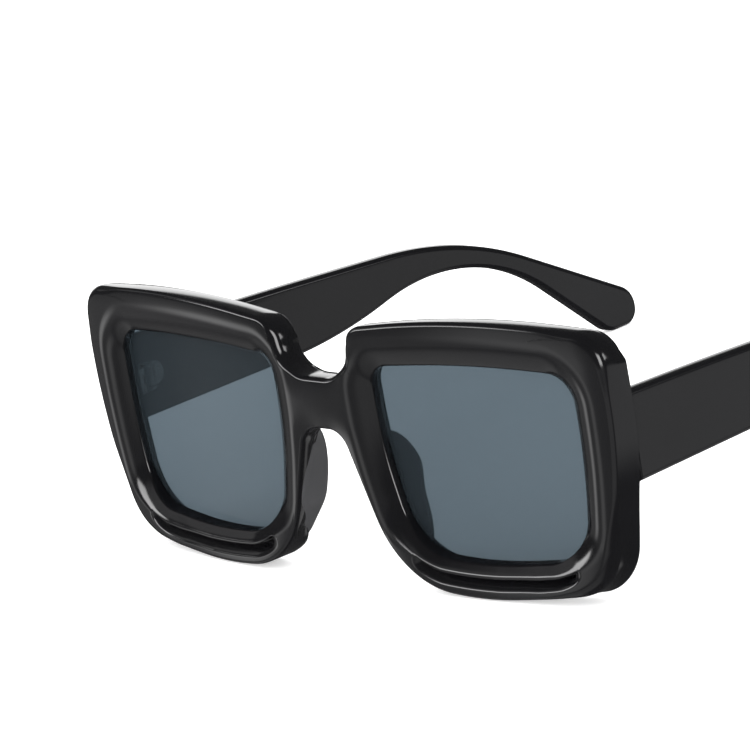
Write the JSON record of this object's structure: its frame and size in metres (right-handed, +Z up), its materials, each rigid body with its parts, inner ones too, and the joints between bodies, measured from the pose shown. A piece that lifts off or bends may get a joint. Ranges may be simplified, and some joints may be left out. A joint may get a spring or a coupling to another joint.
{
  "type": "sunglasses",
  "caption": "Oversized square sunglasses: thick glossy black front with dished rims, grey tinted lenses and wide flat temples that fold in on barrel hinges.",
  "frame": {"origin": "on the floor, midway across the front and midway between its face and the temple tips", "axes": "+X to the wearer's left, +Y back to the temple tips, +Z up from the floor that rims and tips stand on"},
  "size_m": [0.1474, 0.149, 0.0543],
  "materials": {
    "frame": "polished black moulded plastic",
    "pads": "polished black moulded plastic",
    "lens": "clear grey tint, polished",
    "hinge": "bright nickel-plated stamping",
    "screw": "bright turned steel"
  },
  "bodies": {
    "front": {"front_frame": "frame", "front_hinge_left": "hinge", "front_hinge_right": "hinge", "front_rivet_left": "screw", "front_rivet_right": "screw", "hinge_screw_left": "screw", "hinge_screw_right": "screw", "lens_left": "lens", "lens_right": "lens", "nose_pad_left": "pads", "nose_pad_right": "pads"},
    "temple_left": {"temple_hinge_left": "hinge", "temple_left": "frame", "temple_rivet_left": "screw"},
    "temple_right": {"temple_hinge_right": "hinge", "temple_right": "frame", "temple_rivet_right": "screw"}
  },
  "joints": [
    {"name": "fold_left", "type": "hinge", "parent": "front", "child": "temple_left", "pos_m": [0.06715, -0.05955, 0.02899], "axis": [0, 0.0349, 0.9994], "range_deg": [0, 90]},
    {"name": "fold_right", "type": "hinge", "parent": "front", "child": "temple_right", "pos_m": [-0.06715, -0.05955, 0.02899], "axis": [0, -0.0349, -0.9994], "range_deg": [0, 83]}
  ]
}
